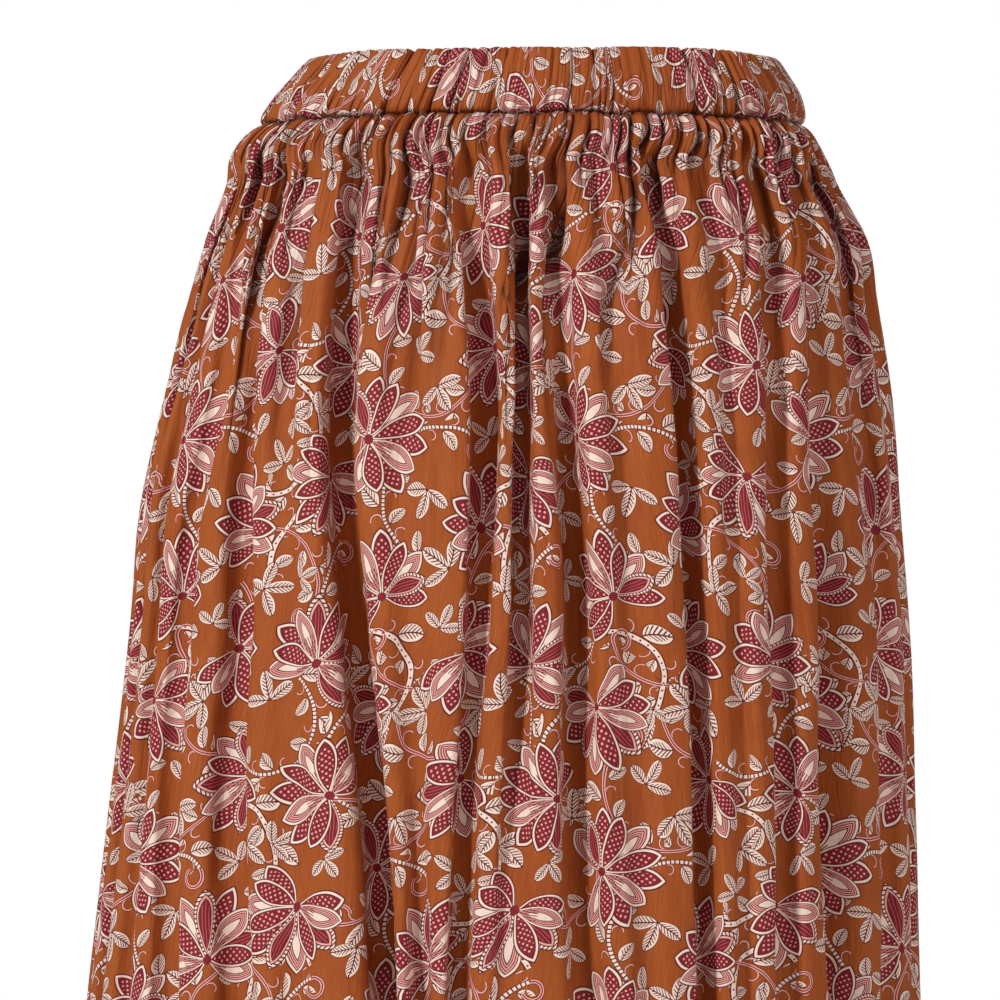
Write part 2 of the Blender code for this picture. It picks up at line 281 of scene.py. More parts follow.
FRONT_CREASES = (
    # start, end, deep, wide
    Crease((-213, 170), (-222, 290), -2.4, 4),
    Crease((-196, 60), (-203, 150), 2.6, 3),
    Crease((-157, 140), (-154, 235), -2.2, 4),
    Crease((-160, 310), (-153, 440), -3.0, 5),
    Crease((-131, 90), (-128, 260), 2.6, 3),
    Crease((-116, 135), (-111, 250), 2.6, 4),
    Crease((-96, 60), (-97, 170), 2.8, 3),
    Crease((-92, 240), (-80, 420), -2.6, 5),
    Crease((-67, 55), (-66, 150), -2.4, 5),
    Crease((-58, 190), (-62, 330), 2.4, 4),
    Crease((-22, 30), (-18, 200), -2.6, 3.5),
    Crease((-2, 60), (0, 180), 2.6, 3),
    Crease((27, 185), (30, 290), -2.6, 6),
    Crease((38, 300), (42, 450), 2.2, 5),
    Crease((50, 70), (56, 150), 2.6, 3.5),
    Crease((66, 190), (68, 330), -2.2, 5),
    Crease((98, 60), (108, 210), -2.6, 4.5),
    Crease((112, 260), (119, 420), -3.0, 4),
    Crease((134, 95), (137, 190), 3.0, 3),
    Crease((141, 240), (143, 350), 2.4, 4),
    Crease((184, 170), (196, 270), -2.4, 3),
    Crease((-60, 430), (-66, 640), 3.0, 6),
    Crease((-140, 470), (-150, 720), 3.2, 7),
    Crease((-8, 520), (-4, 790), 3.0, 8),
    Crease((42, 450), (47, 700), -3.2, 7),
    Crease((120, 500), (127, 760), 3.0, 6),
    Crease((-100, 600), (-96, 800), -3.0, 7),
    Crease((78, 610), (82, 800), 3.0, 6),
)

BACK_CREASES = (
    # start, end, deep, wide
    Crease((-205, 150), (-214, 280), -2.4, 4),
    Crease((-170, 70), (-180, 190), 2.8, 3),
    Crease((-150, 220), (-158, 400), -2.8, 5),
    Crease((-121, 60), (-130, 170), 2.8, 3.5),
    Crease((-99, 260), (-103, 420), 2.4, 4),
    Crease((-84, 60), (-92, 150), -2.6, 4),
    Crease((-66, 180), (-70, 360), -2.4, 5),
    Crease((-28, 50), (-31, 190), 2.8, 3),
    Crease((-32, 280), (-36, 450), -2.6, 6),
    Crease((2, 90), (4, 240), -2.4, 4),
    Crease((38, 60), (41, 160), 2.8, 3.5),
    Crease((42, 230), (46, 420), 2.6, 5),
    Crease((71, 210), (74, 330), -2.4, 5),
    Crease((96, 50), (100, 180), 2.8, 3),
    Crease((124, 240), (129, 430), -2.8, 5),
    Crease((146, 80), (153, 210), 2.6, 4),
    Crease((178, 210), (184, 340), 2.4, 4),
    Crease((-112, 480), (-118, 740), 3.2, 7),
    Crease((-20, 460), (-14, 700), 3.0, 7),
    Crease((60, 520), (64, 790), -3.2, 8),
    Crease((134, 470), (138, 720), 3.0, 6),
    Crease((-176, 500), (-184, 780), -3.0, 7),
)


def small_valley(away: np.ndarray) -> np.ndarray:
    """The form of the valley between two round folds that meet, by the part of a pitch away from it."""
    near = np.clip(1 - 2 * away, 0, 1)
    return 0.6 * (1 - (1 - near**2) ** 0.62) + 0.4 * ease(near)


class Gathers:
    """The small valleys that a gathered seam draws in the cloth, each with its own depth, width and length.

    A row of lengths gives the share of the gathers up to that row, and the
    shortest and longest of its own, in millimetres.
    """

    lengths: tuple[tuple[float, float, float], ...] = ((0.3, 48, 84), (0.66, 85, 160), (1.0, 170, 300))
    widest: float = 1.25

    def __init__(self, count: int, seed: int) -> None:
        """Spaces the gathers unevenly across one half of the skirt.

        Args:
            count: the number of gathers.
            seed: the number that fixes their unevenness.
        """
        draw = np.random.default_rng(seed)
        gaps = draw.uniform(0.45, 1.75, count + 1)
        self.at = np.cumsum(gaps)[:-1] / gaps.sum()
        self.pitch = (gaps[:-1] + gaps[1:]) / 2 / gaps.sum()
        kind = draw.uniform(0, 1, count)
        drawn = [draw.uniform(shortest, longest, count) for _, shortest, longest in self.lengths]
        self.length = np.select([kind < share for share, _, _ in self.lengths], drawn)
        wide = np.minimum(self.pitch * count, self.widest)
        self.deep = (draw.uniform(4.5, 7.0, count) + 0.9 * (kind > 0.45)) * wide
        self.rib = (0.4 + 3.0 * draw.uniform(0, 1, count) ** 1.6) * wide
        self.drift = draw.uniform(-0.004, 0.004, count)
        self.phase = draw.uniform(0, 2 * math.pi, count)

    def below_seam(self, fractions: np.ndarray, below: float) -> np.ndarray:
        """How far in the gathers draw each thread, in millimetres.

        Args:
            fractions: how far across the half each thread lies, from 0 to 1.
            below: how far the row lies below the waist seam, in millimetres.

        Returns:
            A depth for each thread.
        """
        fall = 1 - ease((below - 0.25 * self.length) / (0.75 * self.length))
        deep = self.deep * (0.8 + 0.2 * ease(below / 12)) * fall
        width = self.pitch * (1 + 0.8 * np.clip(below / self.length, 0, 1.5))
        centre = self.at + self.drift * ease(below / self.length) + 0.0006 * np.sin(below / 7 + self.phase)
        return (deep * small_valley(np.abs(fractions[:, None] - centre) / width)).sum(axis=1)

    def on_band(self, fractions: np.ndarray, down: float) -> np.ndarray:
        """How far in the ribs of the waistband draw each thread, in millimetres.

        Args:
            fractions: how far across the half each thread lies, from 0 to 1.
            down: the row's level, in millimetres below the band's middle.

        Returns:
            A depth for each thread.
        """
        deep = self.rib * (1 + 0.35 * np.sin(down / 9 + self.phase) + 0.5 * ease(down / 18))
        centre = self.at + 0.0011 * np.sin(down / 11 + 2 * self.phase)
        return (deep * small_valley(np.abs(fractions[:, None] - centre) / self.pitch)).sum(axis=1)


def shut_in(depth: np.ndarray, full: float) -> np.ndarray:
    """How little light reaches into the gathers, from 0 to 1, where full is the depth of the darkest ones."""
    return np.clip(depth / full, 0, 1) ** 2.2


def along_line(line: np.ndarray) -> np.ndarray:
    """How far along a finely drawn line each of its points lies in plan, from 0 to 1."""
    steps = np.linalg.norm(np.diff(line[:, :2], axis=0), axis=1)
    return np.insert(np.cumsum(steps), 0, 0.0) / steps.sum()


def spread(line: np.ndarray, wanted: np.ndarray, along: np.ndarray) -> np.ndarray:
    """Finds places along a finely drawn line.

    Args:
        line: the line's points, in plan and perhaps with more numbers.
        wanted: how far along the line the places lie, from 0 to 1.
        along: how far along it each of its own points lies.

    Returns:
        A point for each place, with its other numbers.
    """
    return np.stack([np.interp(wanted, along, column) for column in line.T], axis=1)


def off_side_seam(fractions: np.ndarray, over: float) -> np.ndarray:
    """Goes from 0 at the side seams to 1 at this part of the half's width away from them."""
    return ease(np.minimum(fractions, 1 - fractions) / over)


def seam_sag(fractions: np.ndarray, half: Half) -> np.ndarray:
    """How far below its level the waist seam lies, in millimetres, where its gathers pull it about.

    Args:
        fractions: how far across the half each place lies, from 0 to 1.
        half: the front or the back.

    Returns:
        A distance for each place, 0 at the side seams.
    """
    sag = 1.0 * soft_noise(fractions, 0.5, (11, 1), 91 + half.value)
    sag = sag + 1.5 * soft_noise(fractions, 0.5, (64, 1), 95 + half.value)
    return sag * off_side_seam(fractions, 0.01)


@dataclass(frozen=True)
class Row:
    """One row of threads, in millimetres: its level, how far in it is turned, and its place along the cloth."""

    down: float
    turned_in: float
    cloth: float


def rows_along(profile: list[tuple[float, float]]) -> list[Row]:
    """Lays the rows of a piece of cloth along its profile.

    Args:
        profile: the level of each row and how far in it is turned, in millimetres.

    Returns:
        The rows, each with its place along the cloth.
    """
    levels, turned = np.array(profile).T
    steps = np.hypot(np.diff(levels), np.diff(turned))
    return [Row(*values) for values in zip(levels, turned, np.insert(np.cumsum(steps), 0, 0.0))]


def cloth_grid(name: str, places: np.ndarray, along: np.ndarray, flipped: bool, closed: bool) -> bpy.types.Object:
    """Makes a piece of cloth from a grid whose points are moved to their places.

    Args:
        name: the piece's name.
        places: the points, in millimetres, and the painted shade of each one, from 0 to 1, by row and by column.
        along: how far along the cloth each row lies, from 0 at the top to 1.
        flipped: whether the grid faces the wrong way and is turned over.
        closed: whether the first and last columns are one thread.

    Returns:
        The piece, with its outside faces out and its cloth map on it.
    """
    rows, columns = places.shape[0] - 1, places.shape[1] - 1
    mesh = bmesh.new()
    uv = mesh.loops.layers.uv.new(CLOTH_MAP)
    painted_shade = mesh.verts.layers.float.new(PAINTED_SHADE)
    bmesh.ops.create_grid(mesh, x_segments=columns, y_segments=rows, size=0.5, calc_uvs=True)
    for face in mesh.faces:
        for loop in face.loops:
            row = round((0.5 - loop.vert.co.y) * rows)
            loop[uv].uv.y = 1 - along[row]
    for vertex in mesh.verts:
        column, row = round((vertex.co.x + 0.5) * columns), round((0.5 - vertex.co.y) * rows)
        vertex.co = places[row, column, :3] * MM
        vertex[painted_shade] = places[row, column, 3]
    if closed:
        bmesh.ops.remove_doubles(mesh, verts=mesh.verts, dist=1e-6)
    if flipped:
        bmesh.ops.reverse_faces(mesh, faces=mesh.faces)
    return finished_piece(name, mesh)


def finished_piece(name: str, mesh: bmesh.types.BMesh) -> bpy.types.Object:
    """Puts a mesh in the scene as a smooth piece, with its place in its mesh."""
    data = bpy.data.meshes.new(name)
    mesh.to_mesh(data)
    mesh.free()
    data.shade_smooth()
    piece = bpy.data.objects.new(name, data)
    bpy.context.scene.collection.objects.link(piece)
    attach(piece, BODY)
    return piece


@dataclass
class SkirtPanel:
    """One half of the skirt below the waist seam: a single cloth from the seam to its turned hem.

    Sizes are in millimetres.
    """

    half: Half
    folds: tuple[Fold, ...]
    creases: tuple[Crease, ...]
    gathers: Gathers
    cut_width: float
    seed: int
    outline: Outline = field(default_factory=Outline)
    seam_down: float = 18.3
    hem_down: float = 800.0
    hem_turned: float = 14.0
    cloth_thick: float = 0.9
    deepened: float = 1.2
    columns: int = 900
    fine_steps: int = 3600
    straight_over: float = 34.0
    samples_per_flank: int = 16
    # The gather depth that gets the full painted shade, and the painted shade in a narrow band just under the waist
    # seam
    darkest_deep: float = 6.2
    seam_shade: float = 0.6
    puff_down: float = 34.0
    puff_deep: tuple[float, float] = (2.0, 1.4)
    crumples: tuple[tuple[float, tuple[int, int]], ...] = ((1.0, (62, 7)), (0.5, (130, 22)))
    hem_sway: float = 2.0
    sway_from: float = 500.0

    @property
    def name(self) -> str:
        """The name of the panel's node and piece."""
        return f"panel_{self.half.name.lower()}"

    @property
    def cut_length(self) -> float:
        """The length that the panel is cut to, with its seam allowance and its hem."""
        return self.rows()[-1].cloth

    def rows(self) -> list[Row]:
        """The panel's rows, from the edge inside the waist seam to the edge inside the hem."""
        seam, hem = self.seam_down, self.hem_down
        profile = [(seam + 6.0, 5.6), (seam + 2.0, 5.4), (seam + 0.3, 4.6), (seam + 0.4, 3.6), (seam + 1.2, 2.4)]
        profile += [(seam + 2.4, 1.4), (seam + 4.2, 0.5)]
        levels = np.concatenate([
            np.arange(seam + 6.5, 60, 3.0), np.arange(60, 180, 6.0), np.arange(180, hem - 3, 12.0), [hem - 2.4],
        ])
        profile += [(level, 0.0) for level in levels]
        thick = self.cloth_thick
        profile += [(hem - 0.9, 0.1 * thick), (hem - 0.2, 0.5 * thick), (hem, thick), (hem - 0.3, 1.5 * thick)]
        profile += [(hem - 1.2, 1.9 * thick), (hem - 4, 2 * thick), (hem - 9, 2 * thick)]
        profile += [(hem - self.hem_turned, 1.8 * thick)]
        return rows_along(profile)

    def fold_angles(self, down: float) -> list[float]:
        """The angle of each fold's valley at a level."""
        angles = []
        for fold in self.folds:
            at_stations = []
            for station, at in zip(FOLD_STATIONS, fold.at):
                left, right, _ = self.outline.half_widths(station, self.half)
                at_stations.append(math.acos(-at / (left if at < 0 else right)))
            angles.append(float(smooth(down, FOLD_STATIONS, at_stations)))
        return angles

    def folded_line(self, down: float) -> np.ndarray:
        """Lays a row along the main folds.

        Args:
            down: the row's level, in millimetres below the origin.

        Returns:
            Closely spaced plan points in millimetres, from the left side seam to the right one.
        """
        valleys = self.fold_angles(down)
        ridges = [0.0] + [(a + b) / 2 for a, b in zip(valleys, valleys[1:])] + [math.pi]
        opened = ease((down - self.seam_down) / (FOLD_STATIONS[0] - self.seam_down))
        steps = np.arange(-self.samples_per_flank, self.samples_per_flank) / self.samples_per_flank
        away = np.abs(steps)
        angles, depths = [], []
        for number, (fold, valley) in enumerate(zip(self.folds, valleys)):
            deep = float(smooth(down, FOLD_STATIONS, fold.deep)) * opened * self.deepened
            lean = np.where(steps < 0, fold.lean[0], fold.lean[1]) * min(deep / 10, 1.0)
            reach = away + lean * np.sin(2 * math.pi * away)
            edge = np.where(steps < 0, ridges[number], ridges[number + 1])
            angles.append(valley + (edge - valley) * reach)
            depths.append(deep * (0.5 + 0.5 * np.cos(math.pi * away)) ** fold.sharp)
        points, inward = self.outline.place(down, np.append(np.concatenate(angles), math.pi), self.half)
        return points + inward * np.append(np.concatenate(depths), 0.0)[:, None]

    def threads(self, rows: list[Row]) -> np.ndarray:
        """Lays the threads down the panel, as straight as its folds and gathers let them run.

        Args:
            rows: the panel's rows.

        Returns:
            A point for each thread in each row, in millimetres, and its painted shade, from 0 to 1.
        """
        lines = [self.fine_line(row) for row in rows]
        cloth = np.array([row.cloth for row in rows])
        shares = np.exp(-(((cloth[:, None] - cloth) / self.straight_over) ** 2)) * np.gradient(cloth)
        along = shares @ np.stack([along_line(line) for line in lines]) / shares.sum(axis=1)[:, None]
        even = np.linspace(0, 1, self.columns + 1)
        return np.stack([spread(line, even, own) for line, own in zip(lines, along)])

    def fine_line(self, row: Row) -> np.ndarray:
        """Works out the form of one row.

        Args:
            row: the row.

        Returns:
            Closely spaced points, in millimetres, and the painted shade of each, from 0 to 1.
        """
        fractions = np.linspace(0, 1, self.fine_steps + 1)
        folded = self.folded_line(row.down)
        points = spread(folded, fractions, along_line(folded))
        along = np.gradient(points, axis=0)
        along /= np.linalg.norm(along, axis=1, keepdims=True)
        inward = self.half.value * np.stack([along[:, 1], -along[:, 0]], axis=1)
        below = row.down - self.seam_down
        depth = self.gathers.below_seam(fractions, below)
        # Painted shade: darker in the deep gathers and in a narrow band just under the waist seam, kept on the mesh to
        # darken the print's colour
        painted_shade = np.maximum(shut_in(depth, self.darkest_deep), self.seam_shade * (1 - ease(below / 3.5)))
        part_down = row.down / self.hem_down
        crumple = sum(high * soft_noise(fractions, part_down, cells, self.seed + number)
                      for number, (high, cells) in enumerate(self.crumples))
        depth = depth + crumple * ease(below / 40)
        for crease in self.creases:
            depth = depth + crease.depth(points[:, 0], row.down)
        bulge = self.puff_deep[0] + self.puff_deep[1] * soft_noise(fractions, 0.5, (58, 1), self.seed + 3)
        puff = bulge * math.sin(math.pi * min(max(below, 0.0) / self.puff_down, 1.0))
        depth = (depth - puff) * off_side_seam(fractions, 0.012) + 0.9 * (1 - off_side_seam(fractions, 0.003))
        points = points + inward * (depth + row.turned_in)[:, None]
        points[[0, -1], 1] = 0.0
        swaying = ease((row.down - self.sway_from) / (self.hem_down - self.sway_from))
        sway = self.hem_sway * soft_noise(fractions, 0.5, (14, 1), self.seed + 2) * swaying
        sag = seam_sag(fractions, self.half) * (1 - ease(below / 18))
        return np.column_stack([points, -(row.down + sag + np.minimum(sway, 0.0)), painted_shade])

    def build(self, stitches: bpy.types.Object) -> bpy.types.Object:
        """Makes the panel's piece of cloth, which stands for its node.

        Args:
            stitches: the hem's stitches, which lie on the cloth. Not used.

        Returns:
            The piece.
        """
        rows = self.rows()
        along = np.array([row.cloth for row in rows]) / self.cut_length
        panel = cloth_grid(self.name + "_cloth", self.threads(rows), along, self.half is Half.BACK, closed=False)
        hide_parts(self.name)
        self.cut_width * MM
        self.cut_length * MM
        return panel


@dataclass
class Waistband:
    """The casing over the elastic: one cloth folded over at the top, ribbed where the elastic draws it up.

    Sizes are in millimetres.
    """

    front: Gathers
    back: Gathers
    cut_width: float = 1200.0
    outline: Outline = field(default_factory=Outline)
    half_height: float = 18.0
    thick: float = 4.4
    columns_per_half: int = 900
    fine_steps: int = 3600
    puffed: float = 1.8
    # The rib depth that gets the darkest painted shade, and how dark the painted shade is in the ribs and near the
    # waist seam
    darkest_deep: float = 4.2
    rib_shade: float = 0.8
    seam_shade: float = 0.6

    def rows(self) -> list[Row]:
        """The casing's rows, up its inner face, over the top and down its outer face into the waist seam."""
        top, thick = self.half_height, self.thick
        profile = [(down, thick) for down in np.linspace(top - 1.5, 4 - top, 7)]
        profile += [(1.6 - top, thick - 0.2), (0.4 - top, thick - 0.9), (-top, thick - 1.9), (-top, 1.6)]
        profile += [(0.3 - top, 0.9), (1.2 - top, 0.3), (2.4 - top, 0.0)]
        profile += [(down, 0.0) for down in np.linspace(4 - top, top - 6.5, 12)]
        profile += [(top - 4.6, 0.3), (top - 2.8, 1.0), (top - 1.4, 1.9), (top - 0.5, 2.9), (top, 4.0)]
        profile += [(top + 0.8, 5.4), (top + 3.0, 6.6), (top + 7.0, 7.0)]
        return rows_along(profile)

    def row_places(self, row: Row, half: Half, gathers: Gathers) -> np.ndarray:
        """Works out the places of the threads of one half of a row.

        Args:
            row: the row.
            half: the front or the back.
            gathers: the gathers whose ribs cross this half.

        Returns:
            A point for each thread, in millimetres, and its painted shade, from 0 to 1.
        """
        fractions = self.threads(half, gathers)
        points, inward = self.outline.place(row.down, self.outline.even_angles(row.down, half, fractions), half)
        ribs = gathers.on_band(fractions, row.down)
        outer = 1 - 0.75 * ease(row.turned_in / self.thick) * (row.down < 0)
        puff = self.puffed * math.cos(math.pi / 2 * row.down / self.half_height) * outer
        at_seams = off_side_seam(fractions, 0.01)
        points = points + inward * (ribs * outer * at_seams + row.turned_in - puff)[:, None]
        wave = 0.4 * ribs - 1.2 + 1.2 * soft_noise(fractions, 0.5, (9, 1), 71 + half.value)
        at_top = ease(-(row.down + 6) / (self.half_height - 6)) * at_seams
        sag = seam_sag(fractions, half) * ease((row.down + 4) / (self.half_height + 4))
        near_seam = ease((row.down - self.half_height + 2.5) / 2.5)
        # Painted shade: darker in the ribs' valleys and in a band near the waist seam, kept on the mesh to darken the
        # print's colour
        painted_shade = np.maximum(self.rib_shade * shut_in(ribs, self.darkest_deep), self.seam_shade * near_seam)
        return np.column_stack([points, -(row.down + wave * at_top + sag), painted_shade])

    def threads(self, half: Half, gathers: Gathers) -> np.ndarray:
        """How far across a half each thread lies, spaced evenly along the ribbed cloth."""
        fractions = np.linspace(0, 1, self.fine_steps + 1)
        points, inward = self.outline.place(0.0, self.outline.even_angles(0.0, half, fractions), half)
        ribbed = points + inward * gathers.on_band(fractions, 0.0)[:, None]
        line = np.column_stack([ribbed, fractions])
        return spread(line, np.linspace(0, 1, self.columns_per_half + 1), along_line(line))[:, 2]

    def build(self) -> bpy.types.Object:
        """Makes the casing's piece of cloth, which stands for both halves of the waistband."""
        rows = self.rows()
        lines = []
        for row in rows:
            front = self.row_places(row, Half.FRONT, self.front)
            back = self.row_places(row, Half.BACK, self.back)
            lines.append(np.concatenate([front, back[::-1][1:]]))
        along = np.array([row.cloth for row in rows]) / rows[-1].cloth
        band = cloth_grid("waistband_casing", np.stack(lines), 1 - along, False, closed=True)
        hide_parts("waistband_front", "waistband_back")
        self.cut_width * MM
        rows[-1].cloth * MM
        return band


@dataclass
class HemStitches:
    """The row of stitches that holds one panel's hem, in millimetres."""

    panel: SkirtPanel
    above_hem: float = 12.0
    pitch: float = 3.4
    long: float = 2.4
    thick: float = 0.5

    def build(self) -> bpy.types.Object:
        """Makes the stitches along the panel's cloth, all as one piece."""
        line = self.panel.fine_line(Row(self.panel.hem_down - self.above_hem, 0.0, 0.0))[:, :3]
        around = float(np.linalg.norm(np.diff(line[:, :2], axis=0), axis=1).sum())
        along = along_line(line)
        starts = np.arange(self.pitch, around - self.pitch, self.pitch)
        ends = zip(spread(line, starts / around, along), spread(line, (starts + self.long) / around, along))
        mesh = bmesh.new()
        for start, end in ends:
            way = Vector(end) - Vector(start)
            size = Matrix.Diagonal((way.length / 2 * MM, self.thick / 2 * MM, self.thick / 2 * MM, 1))
            turn = way.to_track_quat("X", "Z").to_matrix().to_4x4()
            place = Matrix.Translation((Vector(start) + Vector(end)) / 2 * MM)
            bmesh.ops.create_uvsphere(mesh, u_segments=6, v_segments=4, radius=1, matrix=place @ turn @ size)
        return finished_piece(f"{self.panel.name}_hem_stitches", mesh)


def colour(red: int, green: int, blue: int) -> tuple[float, float, float, float]:
    """A colour that is given as a screen shows it, from 0 to 255, as the shaders read it."""
    linear = [(c / 255 / 12.92) if c <= 10 else ((c / 255 + 0.055) / 1.055) ** 2.4 for c in (red, green, blue)]
    return (linear[0], linear[1], linear[2], 1.0)


@dataclass(frozen=True)
class Inks:
    """The colours of the print."""

    ground: tuple = colour(174, 92, 34)
    ground_deep: tuple = colour(149, 65, 24)
    maroon: tuple = colour(134, 28, 42)
    outline: tuple = colour(96, 22, 32)
    brick: tuple = colour(124, 26, 36)
    vein: tuple = colour(186, 84, 92)
    cream: tuple = colour(250, 228, 217)
    pink: tuple = colour(236, 176, 170)


class Signal:
    """A number that flows between the nodes of one tree, so that sums can be written as sums."""

    def __init__(self, graph: Graph, socket: bpy.types.NodeSocket) -> None:
        """Keeps the tree's builder and the socket that the number comes out of."""
        self.graph = graph
        self.socket = socket

    def __add__(self, other: Signal | float) -> Signal:
        """This number and another."""
        return self.graph.math("ADD", self, other)

    def __sub__(self, other: Signal | float) -> Signal:
        """This number less another."""
        return self.graph.math("SUBTRACT", self, other)

    def __rsub__(self, other: float) -> Signal:
        """Another number less this one."""
        return self.graph.math("SUBTRACT", other, self)

    def __mul__(self, other: Signal | float) -> Signal:
        """This number times another."""
        return self.graph.math("MULTIPLY", self, other)

    def __abs__(self) -> Signal:
        """This number without its sign."""
        return self.graph.math("ABSOLUTE", self)

    def __gt__(self, other: Signal | float) -> Signal:
        """1 where this number is more than another, and 0 elsewhere."""
        return self.graph.math("GREATER_THAN", self, other)

    def __lt__(self, other: Signal | float) -> Signal:
        """1 where this number is less than another, and 0 elsewhere."""
        return self.graph.math("LESS_THAN", self, other)

    def part(self, size: float) -> Signal:
        """How far this number is through each repeat of a size, from 0 to 1."""
        return self.graph.math("FRACT", self * (1 / size))


class Graph:
    """Adds nodes to one node tree and joins them."""

    def __init__(self, tree: bpy.types.NodeTree) -> None:
        """Starts on a tree."""
        self.tree = tree

    def feed(self, socket: bpy.types.NodeSocket, value: Signal | float | tuple) -> None:
        """Joins a signal to a socket, or sets the socket to a plain value."""
        if isinstance(value, Signal):
            self.tree.links.new(value.socket, socket)
        else:
            socket.default_value = value

    def add(self, kind: str, feeds: dict, **settings: object) -> bpy.types.Node:
        """Adds one node.

        Args:
            kind: the node's type.
            feeds: what goes into its sockets, by name or number.
            settings: its own settings.

        Returns:
            The node.
        """
        node = self.tree.nodes.new(kind)
        for name, value in settings.items():
            setattr(node, name, value)
        for key, value in feeds.items():
            self.feed(node.inputs[key], value)
        return node

    def out(self, kind: str, feeds: dict, output: str | int = 0, **settings: object) -> Signal:
        """Adds one node and gives the signal that comes out of it."""
        return Signal(self, self.add(kind, feeds, **settings).outputs[output])

    def math(self, operation: str, *values: Signal | float) -> Signal:
        """One step of arithmetic."""
        return self.out("ShaderNodeMath", dict(enumerate(values)), operation=operation)

    def vector(self, operation: str, *values: Signal | tuple) -> Signal:
        """One step of arithmetic on vectors, which gives a vector."""
        return self.out("ShaderNodeVectorMath", dict(enumerate(values)), "Vector", operation=operation)

    def measure(self, operation: str, *values: Signal | tuple) -> Signal:
        """One step of arithmetic on vectors, which gives a number."""
        return self.out("ShaderNodeVectorMath", dict(enumerate(values)), "Value", operation=operation)

    def join(self, x: Signal | float, y: Signal | float) -> Signal:
        """A vector from its first two numbers."""
        return self.out("ShaderNodeCombineXYZ", {0: x, 1: y})

    def split(self, vector: Signal) -> tuple[Signal, Signal, Signal]:
        """The three numbers of a vector."""
        x, y, z = self.add("ShaderNodeSeparateXYZ", {0: vector}).outputs
        return Signal(self, x), Signal(self, y), Signal(self, z)

    def pick(self, choice: Signal, first: Signal | float, second: Signal | float) -> Signal:
        """The first number where choice is 0 and the second where it is 1."""
        return self.out("ShaderNodeMix", {0: choice, 2: first, 3: second}, 0, data_type="FLOAT")

    def pick_vector(self, choice: Signal, first: Signal | tuple, second: Signal | tuple) -> Signal:
        """The first vector where choice is 0 and the second where it is 1."""
        return self.out("ShaderNodeMix", {0: choice, 4: first, 5: second}, 1, data_type="VECTOR")

    def pick_colour(self, choice: Signal, first: Signal | tuple, second: Signal | tuple) -> Signal:
        """The first colour where choice is 0 and the second where it is 1."""
        return self.out("ShaderNodeMix", {0: choice, 6: first, 7: second}, 2, data_type="RGBA")

    def steps(self, place: Signal, rows: list[tuple[float, tuple]]) -> Signal:
        """Reads a colour, or three numbers from 0 to 1, that changes only at set places.

        Args:
            place: where to read, from 0 to 1.
            rows: where each step starts, rising, and its colour or numbers.

        Returns:
            The colour or the numbers there.
        """
        node = self.add("ShaderNodeValToRGB", {0: place})
        node.color_ramp.interpolation = "CONSTANT"
        stops = node.color_ramp.elements
        while len(stops) < len(rows):
            stops.new(0.5)
        for stop, (start, values) in zip(stops, rows):
            stop.position = start
            stop.color = (*values[:3], 1.0)
        return Signal(self, node.outputs[0])

    def bands(self, distance: Signal, reach: float, *bands: tuple[float, tuple]) -> Signal:
        """Colours in bands that start at set distances.

        Args:
            distance: the distance from an edge, in millimetres.
            reach: the distance at which the bands end.
            bands: where each band starts, and its colour.

        Returns:
            The colour at that distance.
        """
        return self.steps(distance * (1 / reach), [(start / reach, ink) for start, ink in bands])

    def give(self, **outputs: Signal) -> None:
        """Joins signals to the outputs of a node group."""
        self.add("NodeGroupOutput", outputs)

    def noise(self, vector: Signal, scale: float, detail: float = 0.0, output: str | int = 0) -> Signal:
        """Soft noise over a vector: one number, or three as its Color."""
        return self.out("ShaderNodeTexNoise", {"Vector": vector, "Scale": scale, "Detail": detail}, output)


def node_group(name: str, **outputs: str) -> tuple[bpy.types.NodeTree, Graph, Signal]:
    """Starts a node group that reads a place on the flat cloth.

    Args:
        name: the group's name.
        outputs: the kind of socket for each thing that it puts out.

    Returns:
        The group, its builder, and the place in millimetres.
    """
    tree = bpy.data.node_groups.new(name, "ShaderNodeTree")
    tree.interface.new_socket("Cloth", in_out="INPUT", socket_type="NodeSocketVector")
    for output, kind in outputs.items():
        tree.interface.new_socket(output, in_out="OUTPUT", socket_type=kind)
    graph = Graph(tree)
    return tree, graph, graph.out("NodeGroupInput", {}, "Cloth")


@dataclass(frozen=True)
class Motif:
    """One motif of the repeat: its place in millimetres, its turn in degrees, its kind and its size."""

    x: float
    y: float
    turn: float
    kind: float = 0.0
    size: float = 1.0


@dataclass(frozen=True)
class Vine:
    """One arc of vine in the repeat, in millimetres: its centre, its radius, and the way and width of its gap."""

    x: float
    y: float
    radius: float
    gap_turn: float
    gap: float
    kind: float

    def curl(self, radius: float = 5.2) -> Vine:
        """The tight curl in which the arc ends, on the side that its angles run down to."""
        turn = self.gap_turn + self.gap / 2
        x = self.x + (self.radius - radius) * math.cos(math.radians(turn))
        y = self.y + (self.radius - radius) * math.sin(math.radians(turn))
        return Vine(x, y, radius, turn + 45, 90, 0.0)


